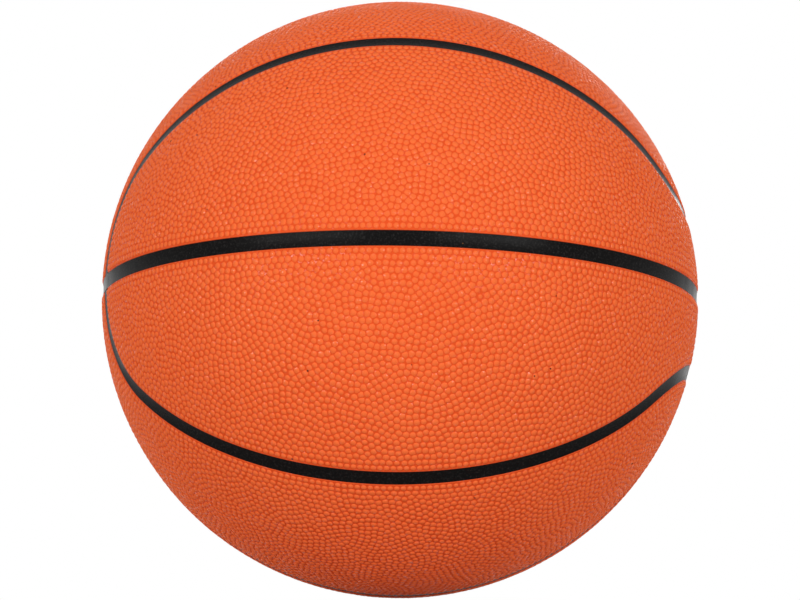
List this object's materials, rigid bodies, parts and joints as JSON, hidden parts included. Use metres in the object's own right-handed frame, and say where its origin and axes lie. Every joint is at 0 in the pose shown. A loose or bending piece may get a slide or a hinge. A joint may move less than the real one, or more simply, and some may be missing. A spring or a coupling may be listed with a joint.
{
  "type": "basketball",
  "caption": "Inflated ball with pebbled cover panels set between black channel strips on a wound rubber carcass, with a layered bladder and a self-sealing needle valve.",
  "frame": {"origin": "middle of the ball", "axes": "+Z along the axis of the flat equator channel, the crown channel in the plane of X and Z, the side poles where both meet on X, the front at -Y and the valve at the back"},
  "size_m": [0.2428, 0.2428, 0.2428],
  "materials": {
    "cover": "pebbled matt orange cover",
    "channel": "smooth satin black",
    "carcass": "matt black",
    "winding": "wound nylon thread",
    "bladder": "matt black butyl",
    "valve": "smooth satin black"
  },
  "bodies": {
    "root": {"panel_front_upper": "cover", "panel_front_lower": "cover", "panel_back_upper": "cover", "panel_back_lower": "cover", "panel_top_front": "cover", "panel_top_back": "cover", "panel_bottom_front": "cover", "panel_bottom_back": "cover", "equator_strip": "channel", "crown_strip_top": "channel", "crown_strip_bottom": "channel", "lobe_strip_front_upper": "channel", "lobe_strip_front_lower": "channel", "lobe_strip_back_upper": "channel", "lobe_strip_back_lower": "channel", "carcass": "carcass", "nylon_winding": "winding", "bladder_outer_ply": "bladder", "bladder_inner_ply": "bladder", "valve_patch": "bladder", "valve_housing": "valve", "valve_plug": "valve"}
  },
  "joints": []
}
